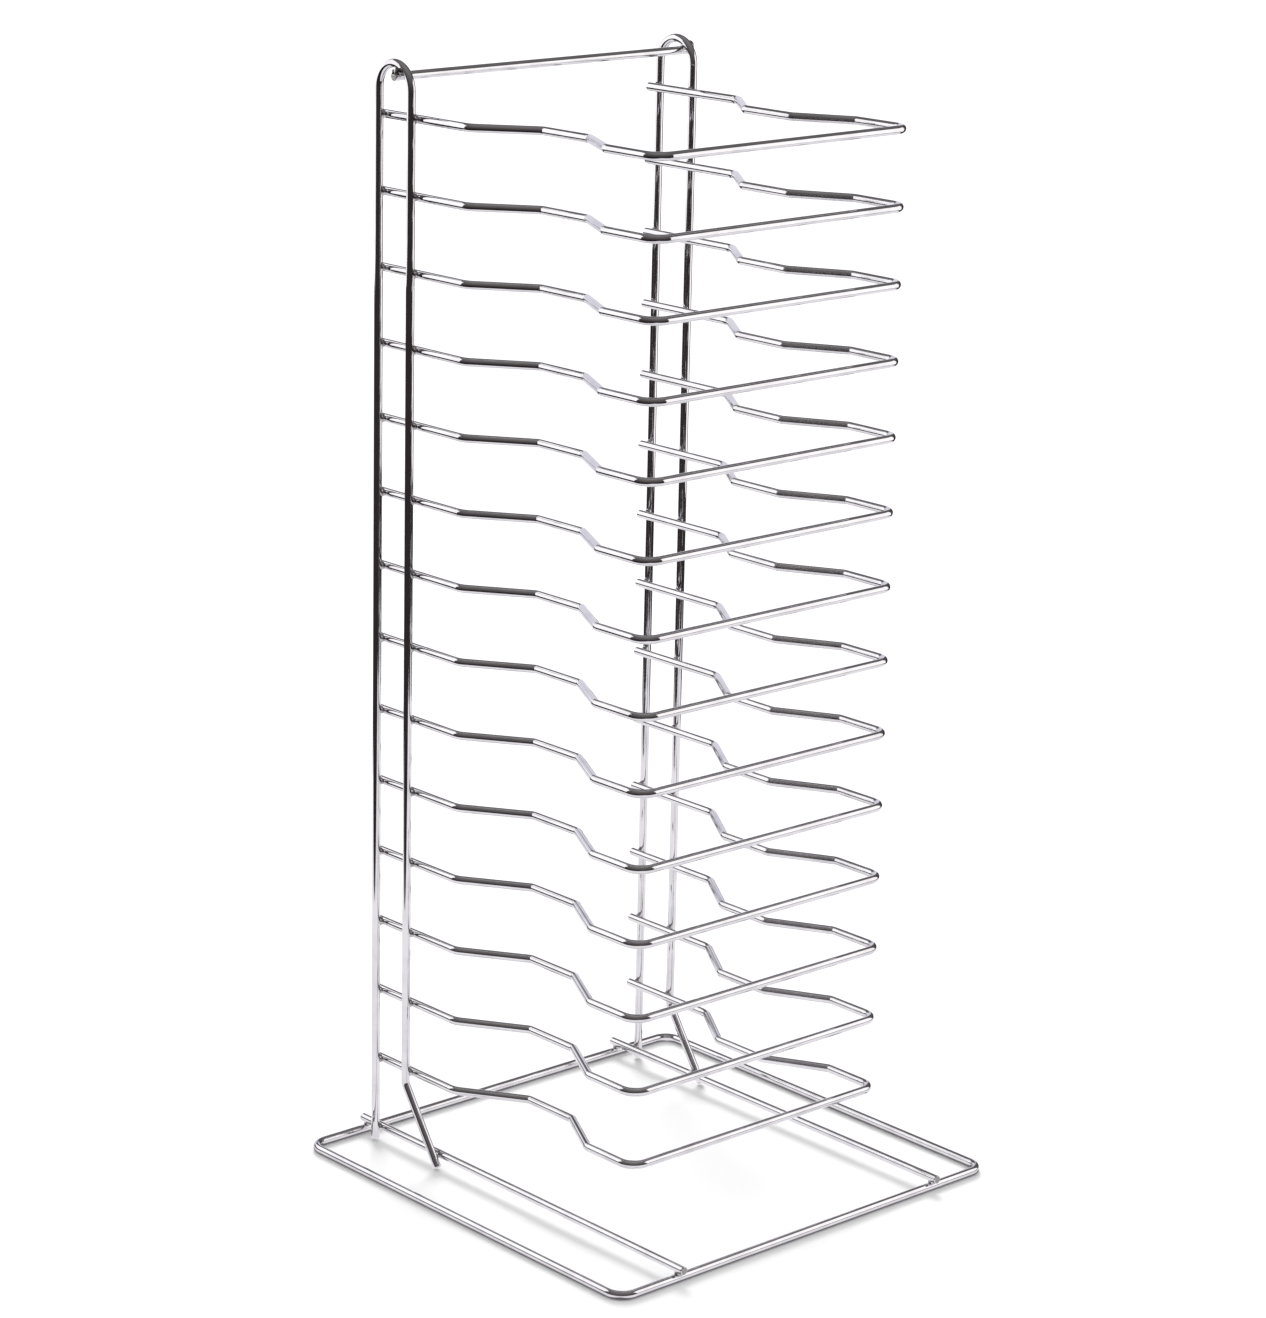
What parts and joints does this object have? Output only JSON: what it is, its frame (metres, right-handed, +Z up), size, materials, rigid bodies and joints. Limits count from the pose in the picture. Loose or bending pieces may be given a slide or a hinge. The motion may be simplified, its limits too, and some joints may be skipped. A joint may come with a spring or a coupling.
{
  "type": "counter-top pan rack",
  "caption": "Free-standing counter-top wire rack: evenly spaced flat shelf wires, open at the rear and waisted, hold round pans or trays between two bent uprights on a wide base loop.",
  "frame": {"origin": "on the floor plane, at the middle of the base's width and depth", "axes": "+Z up, +X to the right, the front (where the shelf wires' closed bars are) towards -Y"},
  "size_m": [0.309, 0.3028, 0.685],
  "materials": {
    "chromed_wire": "bright mirror chrome plating on drawn steel wire"
  },
  "bodies": {
    "root": {"base_loop": "chromed_wire", "runner_left": "chromed_wire", "runner_right": "chromed_wire", "upright_left": "chromed_wire", "upright_right": "chromed_wire", "carry_bar": "chromed_wire", "shelf_01": "chromed_wire", "shelf_02": "chromed_wire", "shelf_03": "chromed_wire", "shelf_04": "chromed_wire", "shelf_05": "chromed_wire", "shelf_06": "chromed_wire", "shelf_07": "chromed_wire", "shelf_08": "chromed_wire", "shelf_09": "chromed_wire", "shelf_10": "chromed_wire", "shelf_11": "chromed_wire", "shelf_12": "chromed_wire", "shelf_13": "chromed_wire", "shelf_14": "chromed_wire"}
  },
  "joints": []
}
